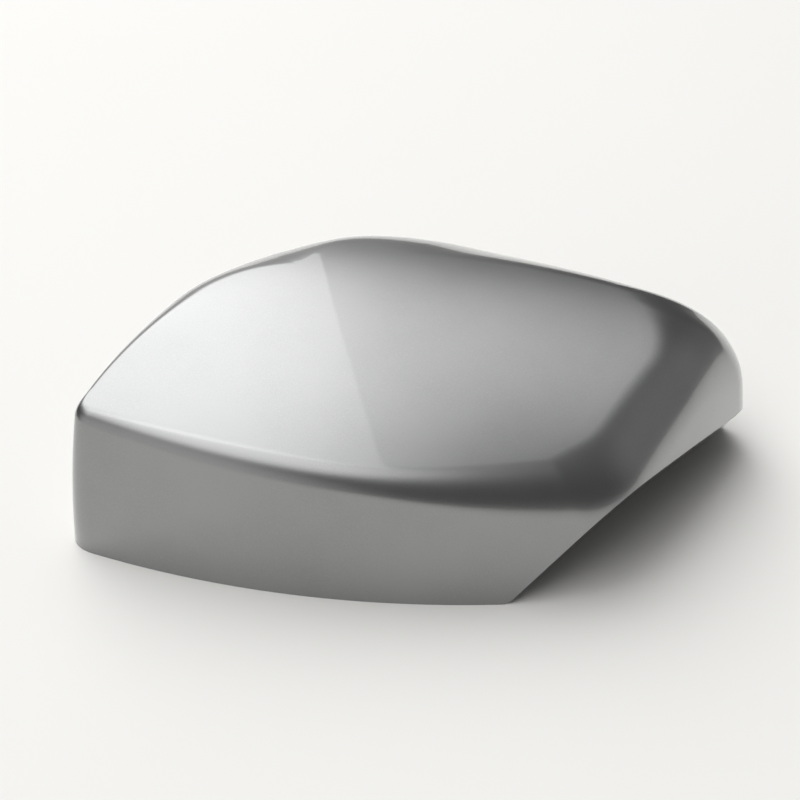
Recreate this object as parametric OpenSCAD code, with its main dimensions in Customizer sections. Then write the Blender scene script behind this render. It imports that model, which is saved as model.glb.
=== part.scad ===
// Wing mirror cover for a car door mirror, right hand side: one moulded piece, open underneath.
// It lies on its rim: +X toward the door end, +Y toward the top edge, +Z out through the crown.

/* [Overall size] */
// length from the outer end to the door end
overall_length = 255; // [252:0.5:258]
// width from the bottom edge to the top edge
overall_width = 177.5; // [173:0.5:179]

/* [Plan outline at the rim] */
// outer-bottom corner before rounding, toward the outer end
outer_bottom_x = -130; // [-134:0.5:-126]
// outer-bottom corner before rounding, across
outer_bottom_y = -77; // [-79:0.5:-72]
// inner-bottom corner before rounding, toward the door end
inner_bottom_x = 89.5; // [84:0.5:92]
// inner-bottom corner before rounding, across
inner_bottom_y = -64; // [-66:0.5:-60]
// inner-top corner before rounding, toward the door end
inner_top_x = 134; // [130:0.5:138]
// inner-top corner before rounding, across
inner_top_y = 48; // [45:0.5:51]
// outer-top corner before its sweep, toward the outer end
outer_top_x = -61; // [-67:0.5:-57]
// outer-top corner before its sweep, across
outer_top_y = 95; // [92:0.5:99]
// how far the bottom edge bows out
bow_bottom = 17; // [12:0.5:20]
// how far the door-end edge bows out
bow_inner = 2; // [1:0.5:4]
// how far the top edge bows out
bow_top = 12; // [8:0.5:14]
// how far the outer-end edge bows out
bow_outer = 10; // [6:0.5:12]
// length that the outer-bottom rounding takes from each edge
round_outer_bottom = 13; // [10:0.5:18]
// length that the inner-bottom rounding takes from each edge
round_inner_bottom = 18; // [14:0.5:24]
// length that the inner-top rounding takes from each edge
round_inner_top = 22; // [18:0.5:30]
// length that the outer-top sweep takes from each edge
sweep_outer_top = 79; // [70:1:84]

/* [Crown and walls] */
// height of the crown's highest point above the rim
crown_height = 81; // [76:0.5:86]
// highest point, along the cover
apex_x = -50.5; // [-60:0.5:-44]
// highest point, across the cover
apex_y = 15; // [10:0.5:22]
// crown radius seen from below or above the mirror
crown_radius_x = 760; // [720:10:850]
// crown radius seen from the door end
crown_radius_y = 200; // [190:2:230]
// lean of the walls from square to the rim, degrees
wall_draft = 2.6; // [2:0.1:3.2]
// radius of the walls' barrel shape, rim to crown
wall_barrel_radius = 450; // [400:10:600]
// wall thickness of the moulding
wall = 2.5; // [2.2:0.1:3]

/* [Edge between walls and crown] */
// length of the tight edge at the outer-bottom corner
edge_outer_bottom = 4; // [3.5:0.5:5]
// length of the crisp edge line along the bottom wall
edge_bottom = 6.5; // [5.5:0.5:8]
// length of the soft edge at the inner-bottom corner
edge_inner_bottom = 18; // [15:0.5:20]
// length of the soft edge at the door end
edge_inner = 18.5; // [17:0.5:24]
// length of the roll-off at the inner-top corner
edge_inner_top = 36; // [32:1:40]
// length of the roll-off along the top
edge_top = 32.5; // [29:0.5:36]
// length of the roll-off on the outer-top sweep
edge_outer_top = 32; // [28:1:36]
// length of the edge at the outer end
edge_outer = 11; // [9:0.5:13]

/* [Arm cut-out] */
// turn of the cut plane toward the bottom wall, degrees
cut_turn = 30; // [27:0.5:33]
// lean of the cut plane over the opening, degrees
cut_lean = 30; // [27:0.5:33]
// distance of the cut plane from the centre of the rim plane
cut_distance = 69; // [66:0.5:72]
// radius where the cut meets the rim
cut_rim_radius = 4; // [3:0.5:6]
// turn of the cut at its far leg, degrees
far_leg_turn = 26; // [24:0.5:28]
// lean of the cut at its far leg, degrees
far_leg_lean = 36; // [34:0.5:38]
// where the far leg takes over from the main cut, along the cover
far_leg_x = 124.5; // [120:0.5:126]
// where the far leg takes over from the main cut, across the cover
far_leg_y = 25; // [20:0.5:30]

/* [Rim lip] */
// wall left at the lip that laps over the mirror housing
lip_wall = 1.4; // [1.2:0.1:1.6]
// height of the lip
lip_height = 4; // [3:0.5:5]

/* [Ribs] */
// thickness of the ribs
rib_thickness = 1.6; // [1.4:0.1:2]
// depth of the ribs below the skin
rib_depth = 5; // [4:0.5:7]
// gap from the cut to the flange that stiffens it
flange_gap = 3; // [2:0.5:5]

/* [Locating pegs] */
// radius of a locating peg
peg_radius = 3; // [2.5:0.1:3.5]
// length of a locating peg below its boss
peg_length = 12; // [10:0.5:14]
// height of the peg tips above the rim plane
peg_tip_height = 22; // [20:0.5:26]
// radius of the boss that carries a peg
boss_radius = 5; // [4.5:0.1:6]

/* [Snap hooks at the rim] */
// width of a hook
hook_width = 14; // [10:0.5:18]
// thickness of a hook's finger
hook_thickness = 2; // [1.8:0.1:2.4]
// gap between the wall and the finger
hook_gap = 5; // [4:0.5:6]
// height of the shelf that carries the finger
hook_shelf_height = 22; // [20:0.5:26]
// height of the finger's tip above the rim plane
hook_tip_height = 3; // [2:0.5:5]
// how far the barb stands off the finger
hook_barb = 2.2; // [1.8:0.1:2.6]

/* [Spring clips under the crown] */
// width of a clip's prongs
clip_width = 9; // [7:0.5:11]
// thickness of a prong
clip_thickness = 2.2; // [2:0.1:2.6]
// gap between the two prongs
clip_gap = 5; // [4:0.5:6]
// height of the clip tips above the rim plane
clip_tip_height = 24; // [22:0.5:28]

/* [Hidden] */
silver_paint = [0.80, 0.80, 0.81];
overlap = 3;          // how far a feature runs into the wall before the cavity trims it
below = 2;            // how far a cut runs past the rim plane
handle = 0.62;        // handle length of a rounding, as a share of the run to its corner
sweep_handle = 0.61;  // the same for the flatter sweep
twist = -7.2;         // crown twist, mm per 100 x 100 mm
skew = -1.25;         // crown's cubic fall, mm per 100 mm cubed
corners = [[outer_bottom_x, outer_bottom_y], [inner_bottom_x, inner_bottom_y],
           [inner_top_x, inner_top_y], [outer_top_x, outer_top_y]];
bows = [bow_bottom, bow_inner, bow_top, bow_outer];
setbacks = [round_outer_bottom, round_inner_bottom, round_inner_top, sweep_outer_top];
handles = [handle, handle, handle, sweep_handle];
edges = [edge_outer_bottom, edge_bottom, edge_inner_bottom, edge_inner,
         edge_inner_top, edge_top, edge_outer_top, edge_outer];
// how much wider the edge runs over the crown than down the wall, at the same eight places as edges
spread = [1.05, 1.03, 1.06, 1.03, 1.22, 1.98, 1.05, 1.66];
// how far each corner reaches toward the middle of its two edges, as a share
reach = [0.35, 0.35, 0.35, 0.6];
apex = [apex_x, apex_y];
edge_steps = [14, 6, 11, 5];   // sections along each edge
round_steps = [6, 7, 16, 6];   // sections round each corner that follows it
rib_x = [-66, -8, 50];
rib_y = [-14, 34];
peg_at = [[rib_x[0], rib_y[0]], [rib_x[2], rib_y[1]]];
clip_at = [[-36, -42, 0], [-34, 56, 0], [24, -36, 0], [20, 58, 0]];
hook_at = [[0, 0.22], [0, 0.62], [2, 0.12], [2, 0.5], [2, 0.86], [3, 0.3]];

// One edge of the plan outline: its two ends and the point that bows it.
function edge_mid(k) = let (a = corners[k], b = corners[(k + 1) % 4], d = (b - a) / norm(b - a))
    (a + b) / 2 + 2 * bows[k] * [d[1], -d[0]];
function edge_at(k, t) = (1 - t) * (1 - t) * corners[k] + 2 * t * (1 - t) * edge_mid(k)
    + t * t * corners[(k + 1) % 4];
function edge_way(k, t) = let (w = (1 - t) * (edge_mid(k) - corners[k])
    + t * (corners[(k + 1) % 4] - edge_mid(k))) w / norm(w);
function edge_length(k) = norm(corners[(k + 1) % 4] - corners[k]);
function edge_from(k) = setbacks[k] / edge_length(k);
function edge_to(k) = 1 - setbacks[(k + 1) % 4] / edge_length(k);

// A rounding from the end of edge k to the start of the next one, as [point, way].
function cross2(a, b) = a[0] * b[1] - a[1] * b[0];
function round_at(k, t) = let (
    m = (k + 1) % 4,
    e = edge_at(k, edge_to(k)), te = edge_way(k, edge_to(k)),
    f = edge_at(m, edge_from(m)), tf = edge_way(m, edge_from(m)),
    run_e = cross2(f - e, tf) / cross2(te, tf), run_f = cross2(te, f - e) / cross2(te, tf),
    h1 = e + te * run_e * handles[m], h2 = f - tf * run_f * handles[m], s = 1 - t,
    way = s * s * (h1 - e) + 2 * t * s * (h2 - h1) + t * t * (f - h2))
    [s * s * s * e + 3 * t * s * s * h1 + 3 * t * t * s * h2 + t * t * t * f, way / norm(way)];

// The whole outline as [point, outward normal, place round the outline 0 to 8].
function outward(way) = [way[1], -way[0]];
function outline(edge_steps, round_steps) = [for (k = [0:3]) each concat(
    [for (i = [0:edge_steps[k] - 1]) let (t = edge_from(k) + (edge_to(k) - edge_from(k)) * i / edge_steps[k])
        [edge_at(k, t), outward(edge_way(k, t)),
         2 * k + reach[k] + (2 - reach[k] - reach[(k + 1) % 4]) * i / edge_steps[k]]],
    [for (i = [0:round_steps[k] - 1]) let (t = i / round_steps[k], r = round_at(k, t))
        [r[0], outward(r[1]), (2 * k + 2 + reach[(k + 1) % 4] * (2 * t - 1)) % 8]])];

// Crown height, lean of the walls, and edge length round the outline.
function crown(p) = let (u = p[0] - apex_x, v = p[1] - apex_y) crown_height
    - u * u / (2 * crown_radius_x) - v * v / (2 * crown_radius_y) - twist * u * v / 1e4
    - skew * (pow(u / 100, 3) + pow(v / 100, 3));
function inset(z) = z * tan(wall_draft) + z * z / (2 * wall_barrel_radius);
function blend_at(values, s) = let (i = floor(s), f = s - i, g = f * f * (3 - 2 * f))
    values[i % 8] * (1 - g) + values[(i + 1) % 8] * g;
function meet(p, n, t, z, left) = left == 0 ? z : meet(p, n, t, crown(p - n * inset(z)) - t, left - 1);
function with_z(p, z) = [p[0], p[1], z];

// One upright section of the skin, t inside the outer face: wall, edge, then crown to the apex.
function section(place, t, steps) = let (
    n = place[1], p = place[0] - n * t,
    z = meet(p, n, t, crown_height, 9),
    k = p - n * inset(z), run = norm(apex - k), way = (apex - k) / run,
    soft = max(blend_at(edges, place[2]) - t, 1.5),
    across = min(soft * blend_at(spread, place[2]), 0.8 * run), down = min(soft, 0.85 * z),
    z0 = z - down, q0 = p - n * inset(z0), s0 = with_z(q0, z0),
    q1 = k + way * across, s1 = with_z(q1, crown(q1) - t),
    up = with_z(-n * (inset(z0 + 0.5) - inset(z0)), 0.5),
    q2 = q1 - way * 0.5, back = with_z(q2, crown(q2) - t) - s1,
    h1 = s0 + up / norm(up) * handle * down, h2 = s1 + back / norm(back) * handle * across)
    concat(
        [for (j = [0:steps[0] - 1]) let (zz = z0 * j / steps[0]) with_z(p - n * inset(zz), zz)],
        [for (j = [0:steps[1] - 1]) let (a = j / steps[1], b = 1 - a)
            b * b * b * s0 + 3 * a * b * b * h1 + 3 * a * a * b * h2 + a * a * a * s1],
        [for (j = [0:steps[2] - 1]) let (q = q1 + (apex - q1) * j / steps[2]) with_z(q, crown(q) - t)]);

// A closed solid inside the face that lies t below the outer one; foot is how far it runs below the rim.
module skin_solid(t, foot, edge_steps, round_steps, steps) {
    places = outline(edge_steps, round_steps);
    n = len(places);
    rows = steps[0] + steps[1] + steps[2];
    sections = [for (place = places) section(place, t, steps)];
    rims = [for (s = sections) with_z(s[0], -foot)];
    grid = [for (j = [0:rows - 1]) each [for (s = sections) s[j]]];
    points = concat(grid, [with_z(apex, crown_height - t)], foot > 0 ? rims : []);
    base = foot > 0 ? n * rows + 1 : 0;
    sides = [for (j = [0:rows - 2], i = [0:n - 1]) let (a = j * n + i, b = j * n + (i + 1) % n)
        each [[a, a + n, b], [b, a + n, b + n]]];
    cap = [for (i = [0:n - 1]) [(rows - 1) * n + i, n * rows, (rows - 1) * n + (i + 1) % n]];
    skirt = foot > 0 ? [for (i = [0:n - 1]) [base + i, i, (i + 1) % n, base + (i + 1) % n]] : [];
    polyhedron(points, concat([[for (i = [0:n - 1]) base + i]], skirt, sides, cap));
}
module outer_form() skin_solid(0, 0, edge_steps, round_steps, [3, 6, 7]);
module cavity() skin_solid(wall, below, edge_steps, round_steps, [2, 5, 6]);
module rib_cavity() skin_solid(wall + rib_depth, below + 1, [8, 4, 6, 3], [3, 4, 8, 3], [2, 3, 4]);

// Slanted cut for the mirror arm, rounded where it meets the rim; its far leg turns back a little.
function cut_way(turn, lean) = [cos(turn) * cos(lean), -sin(turn) * cos(lean), -sin(lean)];
module cut_shape(lean, distance) {
    foot = distance / cos(lean);
    reach = 120;
    run = cut_rim_radius * tan((90 - lean) / 2);
    centre = [foot - run, cut_rim_radius];
    polygon(concat([[foot + 2 * reach, -below - 1], [foot - run, -below - 1]],
        [for (a = [0:(90 - lean) / 4:90 - lean]) centre + cut_rim_radius * [sin(a), -cos(a)]],
        [[foot + reach * tan(lean), reach], [foot + 2 * reach, reach]]));
}
module slanted_cut(turn, lean, distance) rotate([0, 0, -turn]) rotate([90, 0, 0])
    translate([0, 0, -200]) linear_extrude(height = 400) cut_shape(lean, distance);
module arm_cut(set_in = 0) {
    main = cut_way(cut_turn, cut_lean);
    far_leg_z = (main[0] * far_leg_x + main[1] * far_leg_y - cut_distance) / sin(cut_lean);
    slanted_cut(cut_turn, cut_lean, cut_distance - set_in);
    slanted_cut(far_leg_turn, far_leg_lean,
        cut_way(far_leg_turn, far_leg_lean) * [far_leg_x, far_leg_y, far_leg_z] - set_in);
}

// Recess inside the rim that leaves the lip.
module lip_recess() translate([0, 0, -below]) linear_extrude(height = below + lip_height)
    polygon([for (place = outline(edge_steps, round_steps)) place[0] - place[1] * lip_wall]);

// Shallow ribs that follow the skin: two along the cover, three across, one beside the arm cut.
module ribs() {
    top = crown_height + 5;
    difference() {
        union() {
            for (y = rib_y) translate([-140, y - rib_thickness / 2, 34]) cube([280, rib_thickness, top]);
            for (x = rib_x) translate([x - rib_thickness / 2, -100, 34])
                cube([rib_thickness, 200, top]);
            rotate([0, 0, -cut_turn]) rotate([0, cut_lean, 0])
                translate([cut_distance - flange_gap - rib_thickness, -150, -150])
                    cube([rib_thickness, 300, 300]);
        }
        rib_cavity();
    }
}

// Round peg on its boss; the boss runs up into the middle of the crown's wall.
module locating_peg(at) {
    shoulder = peg_tip_height + peg_length;
    translate([at[0], at[1], peg_tip_height]) cylinder(r = peg_radius, h = peg_length + 1, $fn = 48);
    translate([at[0], at[1], shoulder])
        cylinder(r = boss_radius, h = crown(at) - wall / 2 - shoulder, $fn = 48);
}
module boss_fins(at) for (a = [0, 90])
    translate([at[0], at[1], peg_tip_height + peg_length + 10]) rotate([0, 0, a])
        translate([-boss_radius - 4, -rib_thickness / 2, 0])
            cube([2 * boss_radius + 8, rib_thickness, crown_height]);

// Snap hook beside the wall: shelf, finger, barb and two gussets.
module snap_hook(k, share) {
    t = edge_from(k) + (edge_to(k) - edge_from(k)) * share;
    p = edge_at(k, t) - outward(edge_way(k, t)) * wall;
    way = edge_way(k, t);
    lean = inset(hook_shelf_height);
    finger_x = lean + hook_gap;
    end_x = finger_x + hook_thickness;
    translate([p[0], p[1], 0]) rotate([0, 0, atan2(way[1], way[0]) + 90])
        translate([0, hook_width / 2, 0]) rotate([90, 0, 0]) {
            linear_extrude(height = hook_width) polygon([
                [-overlap, hook_shelf_height], [finger_x, hook_shelf_height],
                [finger_x, hook_tip_height], [end_x, hook_tip_height],
                [end_x + hook_barb, hook_tip_height + 3], [end_x + hook_barb, hook_tip_height + 4],
                [end_x, hook_tip_height + 5.5], [end_x, hook_shelf_height + hook_thickness],
                [-overlap, hook_shelf_height + hook_thickness]]);
            for (z = [0, hook_width - rib_thickness]) translate([0, 0, z])
                linear_extrude(height = rib_thickness) polygon([
                    [-overlap, hook_shelf_height - 12], [lean * 0.4, hook_shelf_height - 12],
                    [finger_x + 0.2, hook_shelf_height - 3], [finger_x + 0.2, hook_shelf_height + 1],
                    [-overlap, hook_shelf_height + 1]]);
        }
}

// Two-prong spring clip hanging from the crown.
module spring_clip(at) translate([at[0], at[1], 0]) rotate([0, 0, at[2]]) {
    for (side = [0, 1]) mirror([side, 0, 0]) rotate([90, 0, 0]) translate([0, 0, -clip_width / 2])
        linear_extrude(height = clip_width) polygon([
            [clip_gap / 2, clip_tip_height], [clip_gap / 2 + clip_thickness, clip_tip_height],
            [clip_gap / 2 + clip_thickness + 2, clip_tip_height + 4],
            [clip_gap / 2 + clip_thickness + 2, clip_tip_height + 5],
            [clip_gap / 2 + clip_thickness, clip_tip_height + 6.5],
            [clip_gap / 2 + clip_thickness, crown_height - 22],
            [clip_gap / 2 + clip_thickness + 5, crown_height + 4], [clip_gap / 2, crown_height + 4]]);
    translate([-clip_gap / 2 - 1, -rib_thickness / 2, clip_tip_height + 16])
        cube([clip_gap + 2, rib_thickness, crown_height]);
}

// Everything but the round pegs: outer form less the cavity, whose own features stay solid.
module moulding() difference() {
    outer_form();
    difference() {
        cavity();
        ribs();
        for (at = peg_at) boss_fins(at);
        for (at = clip_at) spring_clip(at);
        for (at = hook_at) snap_hook(at[0], at[1]);
    }
    arm_cut();
    lip_recess();
}

module mirror_cover() color(silver_paint) {
    resize([overall_length, overall_width, crown_height]) moulding();
    for (at = peg_at) locating_peg(at);
}

mirror_cover();
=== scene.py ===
"""Wing mirror cover: the painted shell and its moulded inside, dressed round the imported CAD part.

The cover lies on its rim as in the photograph. The shell is drawn finely from the same named sizes as
the CAD solid, so its reflections run clean, and the hooks, clips, ribs and pegs inside are moulded with it.
"""
import logging
import math
from dataclasses import dataclass
from enum import Enum

import bpy
import numpy as np
from mathutils import Matrix, Vector


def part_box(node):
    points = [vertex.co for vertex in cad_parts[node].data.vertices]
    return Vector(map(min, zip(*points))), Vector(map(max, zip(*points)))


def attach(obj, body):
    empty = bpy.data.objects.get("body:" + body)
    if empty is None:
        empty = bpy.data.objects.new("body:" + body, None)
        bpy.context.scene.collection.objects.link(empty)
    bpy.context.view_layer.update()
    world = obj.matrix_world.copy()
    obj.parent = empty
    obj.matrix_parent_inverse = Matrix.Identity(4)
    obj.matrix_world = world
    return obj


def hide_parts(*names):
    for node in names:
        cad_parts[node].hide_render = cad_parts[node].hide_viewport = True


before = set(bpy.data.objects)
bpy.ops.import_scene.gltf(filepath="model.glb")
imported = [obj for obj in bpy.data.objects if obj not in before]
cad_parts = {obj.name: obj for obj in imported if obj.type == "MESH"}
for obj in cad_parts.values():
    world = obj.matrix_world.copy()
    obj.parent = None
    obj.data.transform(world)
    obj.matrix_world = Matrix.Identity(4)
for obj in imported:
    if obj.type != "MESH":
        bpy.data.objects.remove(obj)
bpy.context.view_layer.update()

LOG = logging.getLogger("mirror_cover")
MM = 0.001
NODE = "mirror_cover"
SRGB_KNEE = 0.04045
BEVEL_SEGMENTS = 3
WELD_MM = 0.002


# Helpers


def hex_to_linear(code: str) -> tuple[float, float, float, float]:
    """Turn an sRGB hex colour into Blender's linear RGBA.

    Args:
        code: the colour as "#rrggbb".

    Returns:
        Red, green, blue and alpha, linear.
    """
    parts = [int(code[i : i + 2], 16) / 255 for i in (1, 3, 5)]
    linear = [c / 12.92 if c <= SRGB_KNEE else ((c + 0.055) / 1.055) ** 2.4 for c in parts]
    return (linear[0], linear[1], linear[2], 1.0)


def add_node(tree: bpy.types.NodeTree, kind: str, settings: dict | None = None,
             links: dict | None = None) -> bpy.types.Node:
    """Add one shader node with its settings and its incoming links.

    Args:
        tree: the node tree that gets it.
        kind: the node's type name, such as "ShaderNodeTexNoise".
        settings: attribute names, or input names or numbers, with their values.
        links: input names or numbers, each with the output socket that feeds it.

    Returns:
        The new node.
    """
    node = tree.nodes.new(kind)
    for key, value in (settings or {}).items():
        if isinstance(key, str) and hasattr(node, key):
            setattr(node, key, value)
        else:
            node.inputs[key].default_value = value
    for key, socket in (links or {}).items():
        tree.links.new(socket, node.inputs[key])
    return node


def new_material(name: str) -> tuple[bpy.types.Material, bpy.types.NodeTree]:
    """Make an empty node material.

    Args:
        name: the material's name.

    Returns:
        The material and its cleared node tree.
    """
    material = bpy.data.materials.new(name)
    material.use_nodes = True
    material.node_tree.nodes.clear()
    return material, material.node_tree


def mesh_object(name: str, points: np.ndarray, faces: list, materials: list | None = None,
                face_slots: np.ndarray | None = None) -> bpy.types.Object:
    """Make a mesh object from points in millimetres.

    Args:
        name: the object's name.
        points: an array of points, one row each, mm.
        faces: lists of point numbers.
        materials: the materials for its slots.
        face_slots: the slot number of each face.

    Returns:
        The object, linked to the scene.
    """
    mesh = bpy.data.meshes.new(name)
    mesh.from_pydata([tuple(p) for p in points * MM], [], faces)
    for material in materials or []:
        mesh.materials.append(material)
    if face_slots is not None:
        mesh.polygons.foreach_set("material_index", face_slots.astype(np.int32))
    mesh.update()
    thing = bpy.data.objects.new(name, mesh)
    bpy.context.scene.collection.objects.link(thing)
    return thing


def settle(thing: bpy.types.Object) -> bpy.types.Object:
    """Apply an object's modifiers to its mesh.

    Args:
        thing: the object.

    Returns:
        The same object with a plain mesh.
    """
    graph = bpy.context.evaluated_depsgraph_get()
    mesh = bpy.data.meshes.new_from_object(thing.evaluated_get(graph))
    old = thing.data
    thing.modifiers.clear()
    thing.data = mesh
    bpy.data.meshes.remove(old)
    return thing


class Cut(Enum):
    """How a solid tool meets the solid it works on."""

    JOIN = "UNION"
    TAKE_AWAY = "DIFFERENCE"
    KEEP_SHARED = "INTERSECT"


def work_solid(thing: bpy.types.Object, tools: list, how: Cut) -> bpy.types.Object:
    """Join, cut or trim a closed solid by other closed solids, which are used up.

    Args:
        thing: the solid that is kept.
        tools: the solids that work on it.
        how: what the tools do.

    Returns:
        The worked solid.
    """
    for tool in tools:
        change = thing.modifiers.new("work", "BOOLEAN")
        change.operation = how.value
        change.object = tool
        change.solver = "MANIFOLD"
        settle(thing)
        bpy.data.objects.remove(tool)
    return thing


def soften(thing: bpy.types.Object, width_mm: float, angle: float = 32.0) -> bpy.types.Object:
    """Round a moulded piece's edges a little and shade it smooth between sharp edges.

    Args:
        thing: the piece.
        width_mm: width of the rounding.
        angle: edges sharper than this many degrees are rounded.

    Returns:
        The piece.
    """
    if width_mm:
        bevel = thing.modifiers.new("edge", "BEVEL")
        bevel.width = width_mm * MM
        bevel.segments = BEVEL_SEGMENTS
        bevel.limit_method = "ANGLE"
        bevel.angle_limit = math.radians(angle)
        bevel.harden_normals = False
        settle(thing)
    thing.data.shade_smooth()
    thing.data.set_sharp_from_angle(angle=math.radians(angle))
    return thing


def prism(name: str, outline: list, depth: float, place: Matrix) -> bpy.types.Object:
    """Make a straight prism of a flat outline.

    Args:
        name: the object's name.
        outline: points (a, b), counter-clockwise seen from the far end, mm.
        depth: length along the local third axis, mm.
        place: where the local frame sits, mm.

    Returns:
        The prism, a closed solid.
    """
    n = len(outline)
    points = [Vector((a, b, 0)) for a, b in outline] + [Vector((a, b, depth)) for a, b in outline]
    area = sum(outline[i][0] * outline[(i + 1) % n][1] - outline[(i + 1) % n][0] * outline[i][1]
               for i in range(n))
    faces = [list(range(n))[::-1], list(range(n, 2 * n))]
    faces += [[i, (i + 1) % n, n + (i + 1) % n, n + i] for i in range(n)]
    if area < 0:
        faces = [f[::-1] for f in faces]
    return mesh_object(name, np.array([place @ p for p in points]), faces)


def block(name: str, low: tuple, high: tuple) -> bpy.types.Object:
    """Make a box between two corners, mm."""
    outline = [(low[0], low[1]), (high[0], low[1]), (high[0], high[1]), (low[0], high[1])]
    return prism(name, outline, high[2] - low[2], Matrix.Translation((0, 0, low[2])))


# Finishes


@dataclass(frozen=True)
class ClearCoatedSilverPaint:
    """Sprayed metallic base coat under a gloss clear coat, on moulded ABS.

    The aluminium flake gives a broad soft sheen that darkens where it turns from the light, and the
    clear coat adds a sharp, weak picture of the room on top. A faint orange peel ripples that picture.
    """

    flake_colour: str = "#929393"
    flake_dark: str = "#898a8a"
    dark_below: float = 0.35
    bright_above: float = 0.85
    metallic: float = 0.92
    binder_ior: float = 1.5
    flake_roughness: float = 0.3
    roughness_drift: float = 0.02
    flake_size_mm: float = 0.35
    flake_centre: float = 0.2
    flake_share: float = 0.5
    glint_strength: float = 0.12
    glint_height_mm: float = 0.02
    cloud_size_mm: float = 45.0
    coat_ior: float = 1.5
    coat_roughness: float = 0.035
    peel_size_mm: float = 3.2
    peel_height_mm: float = 0.0035

    def build(self) -> bpy.types.Material:
        """Make the material.

        Returns:
            The finished material.
        """
        material, tree = new_material("clear_coated_silver_paint")
        place = add_node(tree, "ShaderNodeTexCoord").outputs["Object"]
        # Flake is far finer than a pixel, so it is drawn at about a third of a millimetre to show at all.
        flake = add_node(tree, "ShaderNodeTexVoronoi", {"Scale": 1 / (self.flake_size_mm * MM)},
                         {"Vector": place})
        cloud = add_node(tree, "ShaderNodeTexNoise", {
            "Scale": 1 / (self.cloud_size_mm * MM), "Detail": 3.0}, {"Vector": place})
        grain = add_node(tree, "ShaderNodeMapRange", {"From Min": self.flake_centre, "From Max": 1.0,
                         "To Min": 0.0, "To Max": 1.0}, {"Value": flake.outputs["Distance"]})
        blend = add_node(tree, "ShaderNodeMath", {"operation": "MULTIPLY_ADD", 1: self.flake_share},
                         {0: grain.outputs[0], 2: cloud.outputs["Fac"]})
        tone = add_node(tree, "ShaderNodeValToRGB", {}, {"Fac": blend.outputs[0]})
        stops = ((self.dark_below, self.flake_dark), (self.bright_above, self.flake_colour))
        for stop, (position, colour) in zip(tone.color_ramp.elements, stops):
            stop.position = position
            stop.color = hex_to_linear(colour)
        rough = add_node(tree, "ShaderNodeMapRange", {
            "To Min": self.flake_roughness - self.roughness_drift,
            "To Max": self.flake_roughness + self.roughness_drift}, {"Value": cloud.outputs["Fac"]})
        glint = add_node(tree, "ShaderNodeBump", {
            "Strength": self.glint_strength, "Distance": self.glint_height_mm * MM},
            {"Height": flake.outputs["Distance"]})
        peel = add_node(tree, "ShaderNodeTexNoise", {"Scale": 1 / (self.peel_size_mm * MM),
                        "Detail": 1.0, "Roughness": 0.4}, {"Vector": place})
        ripple = add_node(tree, "ShaderNodeBump", {"Strength": 1.0, "Distance": self.peel_height_mm * MM},
                          {"Height": peel.outputs["Fac"]})
        shader = add_node(tree, "ShaderNodeBsdfPrincipled", {
            "Metallic": self.metallic, "IOR": self.binder_ior, "Coat Weight": 1.0,
            "Coat Roughness": self.coat_roughness, "Coat IOR": self.coat_ior}, {
            "Base Color": tone.outputs[0], "Roughness": rough.outputs[0], "Normal": glint.outputs[0],
            "Coat Normal": ripple.outputs[0]})
        add_node(tree, "ShaderNodeOutputMaterial", {}, {"Surface": shader.outputs[0]})
        return material


@dataclass(frozen=True)
class MouldedAbs:
    """Dark ABS straight from a spark-eroded mould, with a mist of silver overspray near the rim.

    The eye sees a matt charcoal inside, slightly mottled by flow, that turns grey toward the edges.
    """

    base: str = "#2b2c2d"
    flow: str = "#353637"
    overspray: str = "#8f9192"
    roughness: float = 0.55
    ior: float = 1.53
    flow_size_mm: float = 30.0
    spark_grain_mm: float = 0.6
    spark_strength: float = 0.35
    spark_height_mm: float = 0.05
    overspray_top_mm: float = 15.0
    overspray_share: float = 0.85
    mist_size_mm: float = 1.2

    def build(self) -> bpy.types.Material:
        """Make the material.

        Returns:
            The finished material.
        """
        material, tree = new_material("moulded_abs")
        place = add_node(tree, "ShaderNodeTexCoord").outputs["Object"]
        cloud = add_node(tree, "ShaderNodeTexNoise", {"Scale": 1 / (self.flow_size_mm * MM), "Detail": 4.0},
                         {"Vector": place})
        tone = add_node(tree, "ShaderNodeMix", {"data_type": "RGBA", 6: hex_to_linear(self.base),
                        7: hex_to_linear(self.flow)}, {0: cloud.outputs["Fac"]})
        height = add_node(tree, "ShaderNodeSeparateXYZ", {}, {0: place}).outputs["Z"]
        fade = add_node(tree, "ShaderNodeMapRange", {
            "From Min": 0.0, "From Max": self.overspray_top_mm * MM,
            "To Min": self.overspray_share, "To Max": 0.0}, {"Value": height})
        mist = add_node(tree, "ShaderNodeTexNoise", {"Scale": 1 / (self.mist_size_mm * MM), "Detail": 4.0},
                        {"Vector": place})
        share = add_node(tree, "ShaderNodeMath", {"operation": "MULTIPLY", "use_clamp": True},
                         {0: fade.outputs[0], 1: mist.outputs["Fac"]})
        dusted = add_node(tree, "ShaderNodeMix", {"data_type": "RGBA", 7: hex_to_linear(self.overspray)},
                          {0: share.outputs[0], 6: tone.outputs[2]})
        grain = add_node(tree, "ShaderNodeTexNoise", {"Scale": 1 / (self.spark_grain_mm * MM),
                         "Detail": 3.0}, {"Vector": place})
        bump = add_node(tree, "ShaderNodeBump", {
            "Strength": self.spark_strength, "Distance": self.spark_height_mm * MM},
            {"Height": grain.outputs["Fac"]})
        shader = add_node(tree, "ShaderNodeBsdfPrincipled", {"Roughness": self.roughness, "IOR": self.ior},
                          {"Base Color": dusted.outputs[2], "Normal": bump.outputs[0]})
        add_node(tree, "ShaderNodeOutputMaterial", {}, {"Surface": shader.outputs[0]})
        return material


# The form


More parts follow.
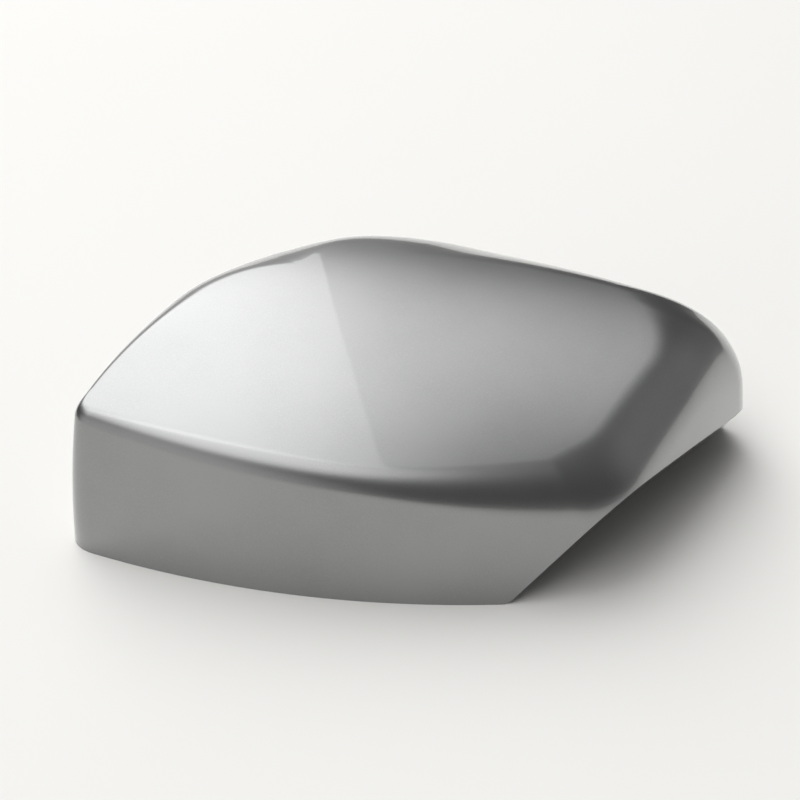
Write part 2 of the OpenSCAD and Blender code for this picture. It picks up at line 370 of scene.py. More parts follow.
@dataclass
class CoverForm:
    """The cover's surfaces, from the same named sizes as the CAD solid, in millimetres.

    The edges and corners of the rim are numbered counter-clockwise from above, from the bottom wall's
    outer end. Values with eight entries belong to the corners and the middles of the edges in turn.
    """

    # Corner points of the rim, how far each edge's middle stands out, where each corner's rounding
    # starts, how full that rounding is and how far it reaches toward the middles of its edges.
    corners: tuple = ((-130.0, -77.0), (89.5, -64.0), (134.0, 48.0), (-61.0, 95.0))
    bows: tuple = (17.0, 2.0, 12.0, 10.0)
    setbacks: tuple = (13.0, 18.0, 22.0, 79.0)
    handles: tuple = (0.62, 0.62, 0.62, 0.61)
    reach: tuple = (0.35, 0.35, 0.35, 0.6)
    # Width of the edge between wall and crown, how much wider it runs on the crown, and its fullness.
    edges: tuple = (4.0, 6.5, 18.0, 18.5, 36.0, 32.5, 32.0, 11.0)
    spread: tuple = (1.05, 1.03, 1.06, 1.03, 1.22, 1.98, 1.05, 1.66)
    handle: float = 0.62
    # The crown: height and place of its apex, radii along and across, twist and uneven fall.
    crown_height: float = 81.0
    apex: tuple = (-50.5, 15.0)
    crown_radii: tuple = (760.0, 200.0)
    twist: float = -7.2
    skew: float = -1.25
    # The walls: lean in degrees, barrel radius and thickness.
    draft: float = 2.6
    barrel: float = 450.0
    wall: float = 2.5
    # The arm cut: turn and lean in degrees of each leg, with its place, and its rounding at the rim.
    main_cut: tuple = (30.0, 30.0)
    cut_distance: float = 69.0
    far_leg_cut: tuple = (26.0, 36.0)
    far_leg_at: tuple = (124.5, 25.0)
    cut_rim_radius: float = 4.0
    lip_wall: float = 1.4
    lip_height: float = 4.0
    # Limits of the rounding: least width, and most of the run to the apex and of the wall's height.
    least_edge: float = 1.5
    most_across: float = 0.8
    most_down: float = 0.85
    # Step that reads a surface's direction, and rounds that find the height where wall and crown meet.
    probe: float = 0.5
    meeting_rounds: int = 9

    def side(self, k: int, t: np.ndarray) -> tuple[np.ndarray, np.ndarray]:
        """One bowed edge of the plan outline.

        Args:
            k: the edge's number.
            t: places along it, 0 to 1.

        Returns:
            Points and unit directions.
        """
        a, b = np.array(self.corners[k]), np.array(self.corners[(k + 1) % 4])
        d = (b - a) / np.linalg.norm(b - a)
        m = (a + b) / 2 + 2 * self.bows[k] * np.array([d[1], -d[0]])
        t = t[:, None]
        way = (1 - t) * (m - a) + t * (b - m)
        return (1 - t) ** 2 * a + 2 * t * (1 - t) * m + t * t * b, way / np.linalg.norm(
            way, axis=1, keepdims=True)

    def span(self, k: int) -> tuple[float, float]:
        """Where edge k starts and ends between its roundings, 0 to 1."""
        length = np.linalg.norm(np.array(self.corners[(k + 1) % 4]) - np.array(self.corners[k]))
        return self.setbacks[k] / length, 1 - self.setbacks[(k + 1) % 4] / length

    def outline(self, side_steps: tuple, round_steps: tuple) -> tuple:
        """The plan outline at the rim.

        Args:
            side_steps: sections along each edge.
            round_steps: sections round the corner after each edge.

        Returns:
            Points, outward normals, and places round the outline from 0 to 8.
        """
        points, ways, places = [], [], []
        for k in range(4):
            start, end = self.span(k)
            share = np.arange(side_steps[k]) / side_steps[k]
            p, w = self.side(k, start + (end - start) * share)
            points.append(p)
            ways.append(w)
            places.append(2 * k + self.reach[k] + (2 - self.reach[k] - self.reach[(k + 1) % 4]) * share)
            m = (k + 1) % 4
            (e,), (te,) = self.side(k, np.array([end]))
            (f,), (tf,) = self.side(m, np.array([self.span(m)[0]]))
            run = np.linalg.solve(np.array([te, tf]).T, f - e)
            h1, h2 = e + te * run[0] * self.handles[m], f - tf * run[1] * self.handles[m]
            t = (np.arange(round_steps[k]) / round_steps[k])[:, None]
            s = 1 - t
            points.append(s**3 * e + 3 * t * s * s * h1 + 3 * t * t * s * h2 + t**3 * f)
            ways.append(s * s * (h1 - e) + 2 * t * s * (h2 - h1) + t * t * (f - h2))
            places.append((2 * k + 2 + self.reach[m] * (2 * t[:, 0] - 1)) % 8)
        way = np.vstack(ways)
        way /= np.linalg.norm(way, axis=1, keepdims=True)
        return np.vstack(points), np.column_stack([way[:, 1], -way[:, 0]]), np.concatenate(places)

    def crown(self, p: np.ndarray) -> np.ndarray:
        """Find the height of the crown.

        Args:
            p: plan points, mm.

        Returns:
            The height over each point, mm.
        """
        u, v = p[..., 0] - self.apex[0], p[..., 1] - self.apex[1]
        return (self.crown_height - u * u / (2 * self.crown_radii[0]) - v * v / (2 * self.crown_radii[1])
                - self.twist * u * v / 1e4 - self.skew * ((u / 100) ** 3 + (v / 100) ** 3))

    def inset(self, z: np.ndarray) -> np.ndarray:
        """How far the wall has come in at height z."""
        return z * math.tan(math.radians(self.draft)) + z * z / (2 * self.barrel)

    def blend(self, values: tuple, place: np.ndarray) -> np.ndarray:
        """Blend eight values smoothly round the outline.

        Args:
            values: one value for each corner and each edge's middle, in order.
            place: places round the outline, 0 to 8.

        Returns:
            The value at each place.
        """
        i = np.floor(place).astype(int)
        f = place - i
        g = f * f * (3 - 2 * f)
        v = np.array(values)
        return v[i % 8] * (1 - g) + v[(i + 1) % 8] * g

    def sections(self, outline: tuple, t: float, rows: tuple) -> np.ndarray:
        """Upright sections of the face that lies t inside the outer one.

        Args:
            outline: points, normals and places from outline().
            t: depth below the outer face, mm.
            rows: steps up the wall, round the edge and over the crown.

        Returns:
            An array of sections by steps by xyz; the last step is the apex.
        """
        point, normal, place = outline
        p = point - normal * t
        z = np.full(len(p), self.crown_height)
        for _ in range(self.meeting_rounds):
            z = self.crown(p - normal * self.inset(z)[:, None]) - t
        k = p - normal * self.inset(z)[:, None]
        apex = np.array(self.apex)
        run = np.linalg.norm(apex - k, axis=1)
        way = (apex - k) / run[:, None]
        soft = np.maximum(self.blend(self.edges, place) - t, self.least_edge)
        across = np.minimum(soft * self.blend(self.spread, place), self.most_across * run)
        down = np.minimum(soft, self.most_down * z)
        z0 = z - down

        def on_wall(height: np.ndarray) -> np.ndarray:
            """Points of the wall at a height for each section."""
            return np.column_stack([p - normal * self.inset(height)[:, None], height])

        def on_crown(q: np.ndarray) -> np.ndarray:
            """Points of the crown over plan points."""
            return np.column_stack([q, self.crown(q) - t])

        q1 = k + way * across[:, None]
        s0, s1 = on_wall(z0), on_crown(q1)
        up = on_wall(z0 + self.probe) - s0
        back = on_crown(q1 - way * self.probe) - s1
        h1 = s0 + up / np.linalg.norm(up, axis=1, keepdims=True) * (self.handle * down)[:, None]
        h2 = s1 + back / np.linalg.norm(back, axis=1, keepdims=True) * (self.handle * across)[:, None]
        out = [on_wall(z0 * j / rows[0]) for j in range(rows[0])]
        for j in range(rows[1]):
            a = j / rows[1]
            b = 1 - a
            out.append(b**3 * s0 + 3 * a * b * b * h1 + 3 * a * a * b * h2 + a**3 * s1)
        for j in range(rows[2] + 1):
            out.append(on_crown(q1 + (apex - q1) * j / rows[2]))
        return np.stack(out, axis=1)

    def cuts(self) -> list[tuple[float, float, float]]:
        """The two planes of the arm cut.

        Returns:
            Turn and lean in radians and distance from the origin in mm, for each plane.
        """
        ways, rows = [], []
        for turn, lean in (self.main_cut, self.far_leg_cut):
            t, e = math.radians(turn), math.radians(lean)
            rows.append((t, e))
            ways.append((math.cos(t) * math.cos(e), -math.sin(t) * math.cos(e), -math.sin(e)))
        x, y = self.far_leg_at
        z = (self.cut_distance - ways[0][0] * x - ways[0][1] * y) / ways[0][2]
        far = ways[1][0] * x + ways[1][1] * y + ways[1][2] * z
        return [(*rows[0], self.cut_distance), (*rows[1], far)]

    def cut_side(self, p: np.ndarray) -> np.ndarray:
        """How far points lie past the arm cut or below the rim.

        Args:
            p: points, mm.

        Returns:
            The distance of each point in mm; negative is kept material.
        """
        sides, r = [], self.cut_rim_radius
        for turn, lean, distance in self.cuts():
            centre_x = distance / math.cos(lean) - r * math.tan((math.pi / 2 - lean) / 2)
            vx = p[..., 0] * math.cos(turn) - p[..., 1] * math.sin(turn) - centre_x
            vz = p[..., 2] - r
            plane = vx * math.cos(lean) - vz * math.sin(lean) - r
            in_corner = (vx > 0) & (vx * math.sin(lean) + vz * math.cos(lean) < 0)
            sides.append(np.where(in_corner, np.hypot(vx, vz) - r, np.maximum(plane, -p[..., 2])))
        return np.maximum(*sides)

    def solid(self, name: str, t: float, foot: float, side_steps: tuple, round_steps: tuple,
              rows: tuple) -> bpy.types.Object:
        """Make the closed solid inside the face that lies t below the outer one.

        Args:
            name: the object's name.
            t: depth below the outer face, mm.
            foot: how far it runs below the rim, mm.
            side_steps: sections along each edge.
            round_steps: sections round each corner.
            rows: steps up the wall, round the edge and over the crown.

        Returns:
            The solid.
        """
        grid = self.sections(self.outline(side_steps, round_steps), t, rows)
        base = grid[:, :1].copy()
        base[..., 2] = -foot
        grid = np.concatenate([base, grid], axis=1)
        n, m = grid.shape[0], grid.shape[1] - 1
        points = np.vstack([grid[:, :m].reshape(-1, 3), grid[:1, m]])
        faces = [[i * m for i in range(n)][::-1]]
        for i in range(n):
            a, b = i * m, (i + 1) % n * m
            faces += [[a + j, b + j, b + j + 1, a + j + 1] for j in range(m - 1)]
            faces.append([a + m - 1, b + m - 1, n * m])
        return mesh_object(name, points, faces)


@dataclass
class CoverShell:
    """The moulded shell: painted outer face, cut edges and rim, bare inner face with its lip."""

    form: CoverForm
    side_steps: tuple = (130, 60, 110, 40)
    round_steps: tuple = (44, 50, 110, 50)
    outer_rows: tuple = (16, 22, 30)
    inner_rows: tuple = (12, 12, 16)
    fine: int = 8
    sharp_angle: float = 28.0
    touch: float = 1e-6

    def clipped(self, path: np.ndarray, knots: np.ndarray) -> np.ndarray:
        """Start each section's path where the arm cut leaves it.

        Args:
            path: sections by fine steps by xyz, from rim to apex.
            knots: the fine step numbers that become rows.

        Returns:
            Sections by rows by xyz, with the rows below the cut drawn up to it.
        """
        side = self.form.cut_side(path)
        steps = path.shape[1]
        outside = side > self.touch
        last = np.where(outside.any(1), steps - 1 - np.argmax(outside[:, ::-1], axis=1), -1)
        start = np.zeros(len(path))
        hit = last >= 0
        i = np.nonzero(hit)[0]
        a, b = side[i, last[i]], side[i, last[i] + 1]
        start[i] = last[i] + a / (a - b)
        at = np.maximum(knots[None, :], start[:, None])
        low = np.minimum(np.floor(at).astype(int), steps - 2)
        f = (at - low)[..., None]
        rows = np.arange(len(path))[:, None]
        return path[rows, low] * (1 - f) + path[rows, low + 1] * f

    def outer(self, outline: tuple) -> np.ndarray:
        """The outer face.

        Args:
            outline: points, normals and places round the rim.

        Returns:
            Sections by rows by xyz, from rim or cut to apex.
        """
        rows = tuple(r * self.fine for r in self.outer_rows)
        path = self.form.sections(outline, 0.0, rows)
        return self.clipped(path, np.arange(0, path.shape[1], self.fine))

    def inner(self, outline: tuple) -> np.ndarray:
        """The inner face: lip, step, wall and crown.

        Args:
            outline: points, normals and places round the rim.

        Returns:
            Sections by rows by xyz, from rim or cut to apex.
        """
        form = self.form
        rows = tuple(r * self.fine for r in self.inner_rows)
        path = form.sections(outline, form.wall, rows)
        point, normal, _ = outline
        lip = point - normal * form.lip_wall
        high = form.lip_height
        first = np.argmax(path[..., 2] > high, axis=1)
        i = np.arange(len(path))
        share = (high - path[i, first - 1, 2]) / (path[i, first, 2] - path[i, first - 1, 2])
        at = first - 1 + share
        # The cavity's wall below the lip's step is drawn up to it.
        steps = path.shape[1]
        place = np.maximum(np.arange(steps)[None, :], at[:, None])
        low = np.minimum(np.floor(place).astype(int), steps - 2)
        f = (place - low)[..., None]
        wall = path[i[:, None], low] * (1 - f) + path[i[:, None], low + 1] * f
        bottom = [np.column_stack([lip, np.full(len(lip), high * j / self.fine)])
                  for j in range(self.fine + 1)]
        whole = np.concatenate([np.stack(bottom, axis=1), wall], axis=1)
        knots = np.concatenate([[0, self.fine], self.fine + 1 + np.arange(0, steps, self.fine)])
        return self.clipped(whole, knots)

    def build(self, paint: bpy.types.Material, bare: bpy.types.Material) -> bpy.types.Object:
        """Make the shell's mesh.

        Args:
            paint: the outside's finish.
            bare: the inside's finish.

        Returns:
            The shell.
        """
        outline = self.form.outline(self.side_steps, self.round_steps)
        outer, inner = self.outer(outline), self.inner(outline)
        n, mo, mi = len(outer), outer.shape[1] - 1, inner.shape[1] - 1
        points = np.vstack([outer[:, :mo].reshape(-1, 3), inner[:, :mi].reshape(-1, 3),
                            outer[:1, mo], inner[:1, mi]])
        base = n * mo
        tip_out, tip_in = base + n * mi, base + n * mi + 1
        faces, slots = [], []
        for i in range(n):
            a, b = i * mo, (i + 1) % n * mo
            c, d = base + i * mi, base + (i + 1) % n * mi
            faces += [[a + j, b + j, b + j + 1, a + j + 1] for j in range(mo - 1)]
            faces.append([a + mo - 1, b + mo - 1, tip_out])
            faces.append([c, d, b, a])
            slots += [0] * (mo + 1)
            faces += [[d + j, c + j, c + j + 1, d + j + 1] for j in range(mi - 1)]
            faces.append([d + mi - 1, c + mi - 1, tip_in])
            slots += [1] * mi
        thing = mesh_object("cover_shell", points, faces, [paint, bare], np.array(slots))
        weld = thing.modifiers.new("weld", "WELD")
        weld.merge_threshold = WELD_MM * MM
        settle(thing)
        thing.data.shade_smooth()
        thing.data.set_sharp_from_angle(angle=math.radians(self.sharp_angle))
        return thing


# The moulded inside


@dataclass
class MouldedInside:
    """Ribs, pegs, clips and hooks, trimmed to end inside the shell's wall."""

    form: CoverForm
    rib_thickness: float = 1.6
    rib_depth: float = 5.0
    rib_x: tuple = (-66.0, -8.0, 50.0)
    rib_y: tuple = (-14.0, 34.0)
    rib_low: float = 34.0
    rib_reach: tuple = (140.0, 100.0)
    flange_gap: float = 3.0
    flange_reach: float = 150.0
    ceiling: float = 90.0
    peg_radius: float = 3.0
    peg_length: float = 12.0
    peg_tip: float = 22.0
    peg_tip_round: tuple = ((-0.7, 0.0), (-0.2, 0.25), (0.0, 0.9))
    peg_fillet: tuple = ((0.0, -0.6), (0.18, -0.18), (0.6, 0.0))
    peg_turns: int = 64
    boss_radius: float = 5.0
    boss_chamfer: float = 0.4
    fin: float = 4.0
    fin_start: float = 10.0
    hook_at: tuple = ((0, 0.22), (0, 0.62), (2, 0.12), (2, 0.5), (2, 0.86), (3, 0.3))
    hook_width: float = 14.0
    hook_thickness: float = 2.0
    hook_gap: float = 5.0
    hook_shelf: float = 22.0
    hook_tip: float = 3.0
    hook_barb: float = 2.2
    hook_barb_rise: tuple = (3.0, 4.0, 5.5)
    gusset_inset: float = 0.5
    gusset_drop: float = 12.0
    gusset_toe: float = 0.4
    gusset_bite: float = 0.2
    gusset_rise: tuple = (-3.0, 1.0)
    clip_at: tuple = ((-36.0, -42.0), (-34.0, 56.0), (24.0, -36.0), (20.0, 58.0))
    clip_width: float = 9.0
    clip_thickness: float = 2.2
    clip_gap: float = 5.0
    clip_tip: float = 24.0
    clip_barb: float = 2.0
    clip_barb_rise: tuple = (4.0, 5.0, 6.5)
    clip_root_width: float = 5.0
    clip_root_height: float = 22.0
    web_bite: float = 1.0
    web_start: float = 16.0
    web_top: float = 88.0
    rounding: float = 0.3
    # How far features run into the wall or crown before they are trimmed.
    wall_overlap: float = 3.0
    crown_overlap: float = 4.0
    # The solids that trim: steps along edges, round corners and up, and how far they run past the part.
    limit_steps: tuple = ((50, 24, 44, 16), (18, 20, 40, 18), (6, 12, 16))
    hollow_steps: tuple = ((40, 20, 36, 12), (14, 16, 32, 14), (6, 10, 14))
    limit_foot: float = 1.0
    hollow_foot: float = 60.0
    lip_room: float = 200.0
    cut_low: float = -6.0
    cut_high: float = 120.0
    cut_out: float = 300.0
    cut_depth: float = 400.0

    def limit(self) -> bpy.types.Object:
        """The solid up to the middle of the wall, which trims what hangs inside."""
        return self.form.solid("limit", self.form.wall / 2, self.limit_foot, *self.limit_steps)

    def arm_cut(self) -> list:
        """The slanted cut for the mirror arm as solid tools.

        Returns:
            One tool for the main cut and one for its far leg.
        """
        tools = []
        low, high, out = self.cut_low, self.cut_high, self.cut_out
        for turn, lean, distance in self.form.cuts():
            foot = distance / math.cos(lean)
            outline = [(foot + low * math.tan(lean), low), (out, low), (out, high),
                       (foot + high * math.tan(lean), high)]
            place = (Matrix.Rotation(-turn, 4, "Z") @ Matrix.Rotation(math.pi / 2, 4, "X")
                     @ Matrix.Translation((0, 0, -self.cut_depth / 2)))
            tools.append(prism("arm_cut", outline, self.cut_depth, place))
        return tools

    def rounded(self, name: str, outline: list, depth: float, place: Matrix) -> bpy.types.Object:
        """Make a prism whose edges are rounded a little, as on a moulded hook or clip."""
        return soften(prism(name, outline, depth, place), self.rounding)

    def finish(self, thing: bpy.types.Object, name: str, bare: bpy.types.Material) -> bpy.types.Object:
        """Trim a feature to the wall and above the lip, name it and give it its material.

        Args:
            thing: the feature, which still runs into the wall.
            name: the piece's name.
            bare: the inside's finish.

        Returns:
            The finished piece.
        """
        work_solid(thing, [self.limit()], Cut.KEEP_SHARED)
        reach = self.lip_room
        room = block("lip_room", (-reach, -reach, -self.hollow_foot), (reach, reach, self.form.lip_height))
        work_solid(thing, self.arm_cut() + [room], Cut.TAKE_AWAY)
        soften(thing, 0.0)
        thing.name = name
        thing.data.materials.clear()
        thing.data.materials.append(bare)
        return thing

    def ribs(self, bare: bpy.types.Material) -> bpy.types.Object:
        """Make the shallow ribs that follow the skin and the flange beside the arm cut.

        Args:
            bare: the inside's finish.

        Returns:
            The ribs as one piece.
        """
        half, form = self.rib_thickness / 2, self.form
        (along, across), low, high = self.rib_reach, self.rib_low, self.ceiling
        slabs = [block("rib", (-along, y - half, low), (along, y + half, high)) for y in self.rib_y]
        slabs += [block("rib", (x - half, -across, low), (x + half, across, high)) for x in self.rib_x]
        turn, lean = (math.radians(v) for v in form.main_cut)
        place = Matrix.Rotation(-turn, 4, "Z") @ Matrix.Rotation(lean, 4, "Y")
        far, reach = form.cut_distance - self.flange_gap, self.flange_reach
        near = far - self.rib_thickness
        outline = [(near, -reach), (near + self.rib_thickness, -reach), (near + self.rib_thickness, reach),
                   (near, reach)]
        slabs.append(prism("flange", outline, 2 * reach, place @ Matrix.Translation((0, 0, -reach))))
        ribs = work_solid(slabs[0], slabs[1:], Cut.JOIN)
        hollow = form.solid("rib_hollow", form.wall + self.rib_depth, self.hollow_foot, *self.hollow_steps)
        work_solid(ribs, [hollow], Cut.TAKE_AWAY)
        return self.finish(ribs, "cover_ribs", bare)

    def pegs(self, bare: bpy.types.Material) -> bpy.types.Object:
        """Make the two round locating pegs on their finned bosses.

        Args:
            bare: the inside's finish.

        Returns:
            The pegs as one piece.
        """
        whole = None
        r, tip, turns = self.peg_radius, self.peg_tip, self.peg_turns
        shoulder, boss, chamfer = tip + self.peg_length, self.boss_radius, self.boss_chamfer
        profile = [(r + a, tip + z) for a, z in self.peg_tip_round]
        profile += [(r + a, shoulder + z) for a, z in self.peg_fillet]
        profile += [(boss - chamfer, shoulder), (boss, shoulder + chamfer),
                    (boss, self.form.crown_height + self.wall_overlap)]
        angles = [2 * math.pi * i / turns for i in range(turns)]
        for x, y in ((self.rib_x[0], self.rib_y[0]), (self.rib_x[2], self.rib_y[1])):
            points = [(x + a * math.cos(angle), y + a * math.sin(angle), z)
                      for a, z in profile for angle in angles]
            rings = len(profile)
            faces = [list(range(turns))[::-1], [(rings - 1) * turns + i for i in range(turns)]]
            faces += [[j * turns + i, j * turns + (i + 1) % turns, (j + 1) * turns + (i + 1) % turns,
                       (j + 1) * turns + i] for j in range(rings - 1) for i in range(turns)]
            peg = mesh_object("peg", np.array(points), faces)
            reach, half = self.boss_radius + self.fin, self.rib_thickness / 2
            low, high = shoulder + self.fin_start, self.ceiling
            fins = [block("fin", (x - reach, y - half, low), (x + reach, y + half, high)),
                    block("fin", (x - half, y - reach, low), (x + half, y + reach, high))]
            work_solid(peg, fins, Cut.JOIN)
            whole = peg if whole is None else work_solid(whole, [peg], Cut.JOIN)
        return self.finish(whole, "cover_locating_pegs", bare)

    def clips(self, bare: bpy.types.Material) -> bpy.types.Object:
        """Make the two-prong spring clips under the crown.

        Args:
            bare: the inside's finish.

        Returns:
            The clips as one piece.
        """
        g, t, low, crown = self.clip_gap / 2, self.clip_thickness, self.clip_tip, self.form.crown_height
        half, nose, top = self.clip_width / 2, g + t + self.clip_barb, crown + self.crown_overlap
        start, end, back = (low + rise for rise in self.clip_barb_rise)
        outline = [(g, low), (g + t, low), (nose, start), (nose, end), (g + t, back),
                   (g + t, crown - self.clip_root_height), (g + t + self.clip_root_width, top), (g, top)]
        whole = None
        for x, y in self.clip_at:
            for sign in (1, -1):
                place = Matrix.Translation((x, y + half, 0)) @ Matrix.Rotation(math.pi / 2, 4, "X")
                sided = [(sign * a, b) for a, b in outline]
                prong = self.rounded("prong", sided, self.clip_width, place)
                whole = prong if whole is None else work_solid(whole, [prong], Cut.JOIN)
            web = block("web", (x - g - self.web_bite, y - self.rib_thickness / 2, low + self.web_start),
                        (x + g + self.web_bite, y + self.rib_thickness / 2, self.web_top))
            work_solid(whole, [web], Cut.JOIN)
        return self.finish(whole, "cover_spring_clips", bare)

    def hooks(self, bare: bpy.types.Material) -> bpy.types.Object:
        """Make the snap hooks beside the walls.

        Args:
            bare: the inside's finish.

        Returns:
            The hooks as one piece.
        """
        form = self.form
        lean = float(form.inset(self.hook_shelf))
        fx, shelf, tip = lean + self.hook_gap, self.hook_shelf, self.hook_tip
        ex, root, top = fx + self.hook_thickness, -self.wall_overlap, shelf + self.hook_thickness
        nose, (start, end, back) = ex + self.hook_barb, (tip + rise for rise in self.hook_barb_rise)
        body = [(root, shelf), (fx, shelf), (fx, tip), (ex, tip), (nose, start), (nose, end), (ex, back),
                (ex, top), (root, top)]
        foot, inner, (low, high) = shelf - self.gusset_drop, fx + self.gusset_bite, self.gusset_rise
        gusset = [(root, foot), (lean * self.gusset_toe, foot), (inner, shelf + low), (inner, shelf + high),
                  (root, shelf + high)]
        sides = (self.gusset_inset, self.hook_width - self.rib_thickness - self.gusset_inset)
        whole = None
        for k, share in self.hook_at:
            start, end = form.span(k)
            (p,), (w,) = form.side(k, np.array([start + (end - start) * share]))
            p = p - np.array([w[1], -w[0]]) * form.wall
            place = (Matrix.Translation((p[0], p[1], 0))
                     @ Matrix.Rotation(math.atan2(w[1], w[0]) + math.pi / 2, 4, "Z")
                     @ Matrix.Translation((0, self.hook_width / 2, 0))
                     @ Matrix.Rotation(math.pi / 2, 4, "X"))
            hook = self.rounded("hook", body, self.hook_width, place)
            for z in sides:
                work_solid(hook, [self.rounded("gusset", gusset, self.rib_thickness,
                                               place @ Matrix.Translation((0, 0, z)))], Cut.JOIN)
            whole = hook if whole is None else work_solid(whole, [hook], Cut.JOIN)
        return self.finish(whole, "cover_snap_hooks", bare)


def fit_to_frame(pieces: list) -> None:
    """Lay the pieces' common box on the CAD solid's box, a change of about a tenth of a millimetre.

    Args:
        pieces: every piece of the cover, the shell first.
    """
    low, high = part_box(NODE)
    co = np.empty(len(pieces[0].data.vertices) * 3, np.float32)
    pieces[0].data.vertices.foreach_get("co", co)
    co = co.reshape(-1, 3)
    mine_low, mine_high = Vector(co.min(0).tolist()), Vector(co.max(0).tolist())
    scale = [(high[i] - low[i]) / (mine_high[i] - mine_low[i]) for i in range(3)]
    move = (Matrix.Translation(low) @ Matrix.Diagonal((*scale, 1.0)) @ Matrix.Translation(-mine_low))
    for piece in pieces:
        piece.data.transform(move)
        piece.data.update()
    LOG.info("fitted to the frame by %s", [round(s, 5) for s in scale])


# Studio


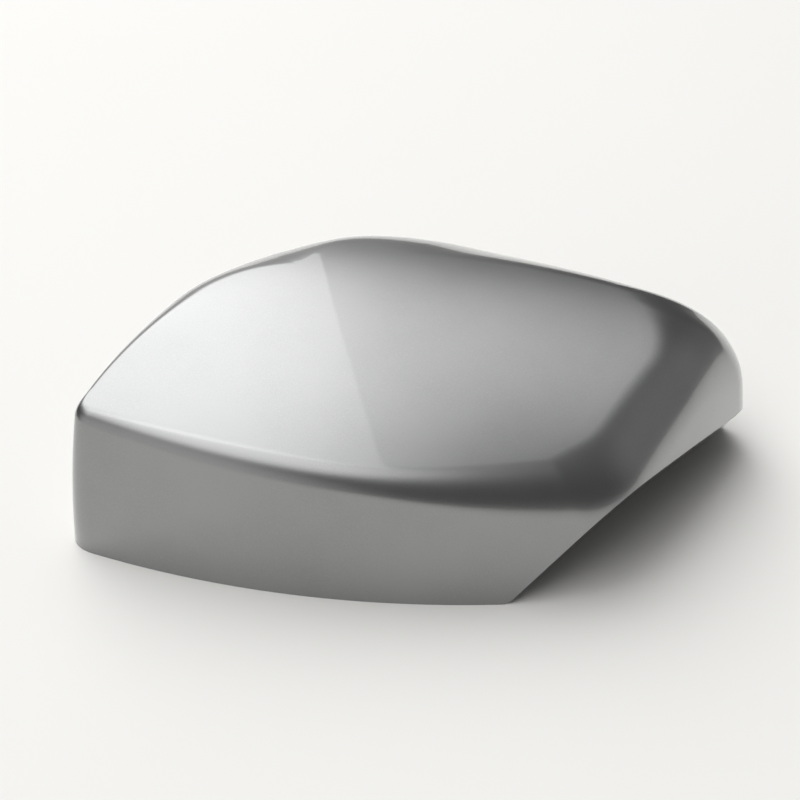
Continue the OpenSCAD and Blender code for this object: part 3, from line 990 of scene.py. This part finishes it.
@dataclass
class Studio:
    """Pale floor that fills the camera's view round the cover, dim room with soft glows, soft window light
    and the camera.
    """

    azimuth: float = 11.44
    elevation: float = 35.27
    distance_mm: float = 712.0
    target_mm: tuple = (1.5, -9.0, 40.0)
    pixels_per_mm: float = 2.5
    centre_px: tuple = (424.42, 402.36)
    image_px: int = 800
    sensor_mm: float = 36.0
    clip_m: tuple = (0.01, 50.0)
    floor_reach_mm: float = 6000.0
    floor_tones: tuple = ("#f4f3f1", "#f6f5f3")
    floor_cloud_m: float = 0.25
    room_colour: str = "#fdfdfc"
    room_level: float = 0.08
    # Soft glows of the room: azimuth from +Y, elevation, inner and outer angle in degrees, and level.
    glows: tuple = (
        (-36.0, 57.0, 5.0, 43.0, 1.6),    # bright ceiling behind the cover
        (-38.0, 12.0, 5.0, 40.0, 0.4),     # wall at the back on the left
        (-152.0, 59.0, 10.0, 28.0, 2.2),   # window high in front on the left
        (-150.0, 8.0, 8.0, 36.0, 0.75),    # wall in front on the left
        (70.0, 30.0, 8.0, 45.0, 0.25),     # wall on the right
    )
    skylight_corner: tuple = (0.11, -0.5, 2.0)
    skylight_turn: float = 15.0
    skylight_size: tuple = (1.6, 5.3)
    skylight_level: float = 1.43

    def camera(self) -> None:
        """Make the camera at the photograph's viewing angle."""
        data = bpy.data.cameras.new("photo_camera")
        data.sensor_width = self.sensor_mm
        data.lens = self.pixels_per_mm * self.distance_mm * self.sensor_mm / self.image_px
        data.shift_x = (self.image_px / 2 - self.centre_px[0]) / self.image_px
        data.shift_y = (self.centre_px[1] - self.image_px / 2) / self.image_px
        data.clip_start, data.clip_end = self.clip_m
        a, e = math.radians(self.azimuth), math.radians(self.elevation)
        back = Vector((math.sin(a) * math.cos(e), -math.cos(a) * math.cos(e), math.sin(e)))
        thing = bpy.data.objects.new("photo_camera", data)
        thing.location = (Vector(self.target_mm) + back * self.distance_mm) * MM
        thing.rotation_mode = "QUATERNION"
        thing.rotation_quaternion = (-back).to_track_quat("-Z", "Y")
        bpy.context.scene.collection.objects.link(thing)
        bpy.context.scene.camera = thing

    def floor(self) -> None:
        """Make the plain pale floor, which takes the cover's shadow."""
        material, tree = new_material("pale_floor")
        place = add_node(tree, "ShaderNodeTexCoord").outputs["Object"]
        cloud = add_node(tree, "ShaderNodeTexNoise", {"Scale": 1 / self.floor_cloud_m, "Detail": 2.0},
                         {"Vector": place})
        dark, light = (hex_to_linear(code) for code in self.floor_tones)
        tone = add_node(tree, "ShaderNodeMix", {"data_type": "RGBA", 6: dark, 7: light},
                        {0: cloud.outputs["Fac"]})
        pale = add_node(tree, "ShaderNodeBsdfDiffuse", {}, {"Color": tone.outputs[2]})
        add_node(tree, "ShaderNodeOutputMaterial", {}, {"Surface": pale.outputs[0]})
        reach = self.floor_reach_mm
        points = np.array([(-reach, -reach, 0), (reach, -reach, 0), (reach, reach, 0), (-reach, reach, 0)])
        plane = mesh_object("pale_floor", points, [[0, 1, 2, 3]], [material])

    def world(self) -> None:
        """Make the dim room with its soft glows."""
        world = bpy.data.worlds.new("room")
        bpy.context.scene.world = world
        world.use_nodes = True
        tree = world.node_tree
        tree.nodes.clear()
        way = add_node(tree, "ShaderNodeTexCoord").outputs["Generated"]
        total = None
        for azimuth, elevation, inner, outer, level in self.glows:
            a, e = math.radians(azimuth), math.radians(elevation)
            middle = (math.sin(a) * math.cos(e), math.cos(a) * math.cos(e), math.sin(e))
            near = add_node(tree, "ShaderNodeVectorMath", {"operation": "DOT_PRODUCT", 1: middle},
                            {0: way})
            glow = add_node(tree, "ShaderNodeMapRange", {
                "interpolation_type": "SMOOTHSTEP", "From Min": math.cos(math.radians(outer)),
                "From Max": math.cos(math.radians(inner)), "To Min": 0.0, "To Max": level},
                {"Value": near.outputs["Value"]})
            settings, links = {"operation": "ADD"}, {0: glow.outputs[0]}
            if total is None:
                settings[1] = self.room_level
            else:
                links[1] = total.outputs[0]
            total = add_node(tree, "ShaderNodeMath", settings, links)
        room = add_node(tree, "ShaderNodeBackground", {"Color": hex_to_linear(self.room_colour)},
                        {"Strength": total.outputs[0]})
        add_node(tree, "ShaderNodeOutputWorld", {}, {"Surface": room.outputs[0]})

    def lamp(self, name: str, middle: Vector, turn: float, size: tuple, level: float) -> None:
        """Make one level soft lamp that shines down and that the camera doesn't see.

        Args:
            name: the lamp's name.
            middle: its middle, metres.
            turn: its turn about the upright axis, radians.
            size: its width and depth, metres.
            level: its brightness, where 1 is white.
        """
        data = bpy.data.lights.new(name, "AREA")
        data.shape = "RECTANGLE"
        data.size, data.size_y = size
        data.energy = level * math.pi * size[0] * size[1]
        thing = bpy.data.objects.new(name, data)
        thing.location = middle
        thing.rotation_euler = (0, 0, turn)
        thing.visible_camera = False
        bpy.context.scene.collection.objects.link(thing)

    def build(self) -> None:
        """Set up the whole studio."""
        self.camera()
        self.floor()
        self.world()
        turn = math.radians(self.skylight_turn)
        right = Vector((math.cos(turn), math.sin(turn), 0))
        back = Vector((-math.sin(turn), math.cos(turn), 0))
        wide, deep = self.skylight_size
        middle = Vector(self.skylight_corner) - right * wide / 2 + back * deep / 2
        self.lamp("skylight", middle, turn, (wide, deep), self.skylight_level)
        bpy.context.scene.view_settings.view_transform = "Standard"


def main() -> None:
    """Build the cover and the studio."""
    logging.basicConfig(level=logging.INFO, format="%(name)s: %(message)s")
    paint = ClearCoatedSilverPaint().build()
    bare = MouldedAbs().build()
    form = CoverForm()
    shell = CoverShell(form).build(paint, bare)
    inside = MouldedInside(form)
    pieces = [shell, inside.ribs(bare), inside.pegs(bare), inside.clips(bare), inside.hooks(bare)]
    fit_to_frame(pieces)
    for piece in pieces:
        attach(piece, "root")
        LOG.info("%s: %d faces", piece.name, len(piece.data.polygons))
    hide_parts(NODE)
    Studio().build()


if __name__ == "__main__":
    main()
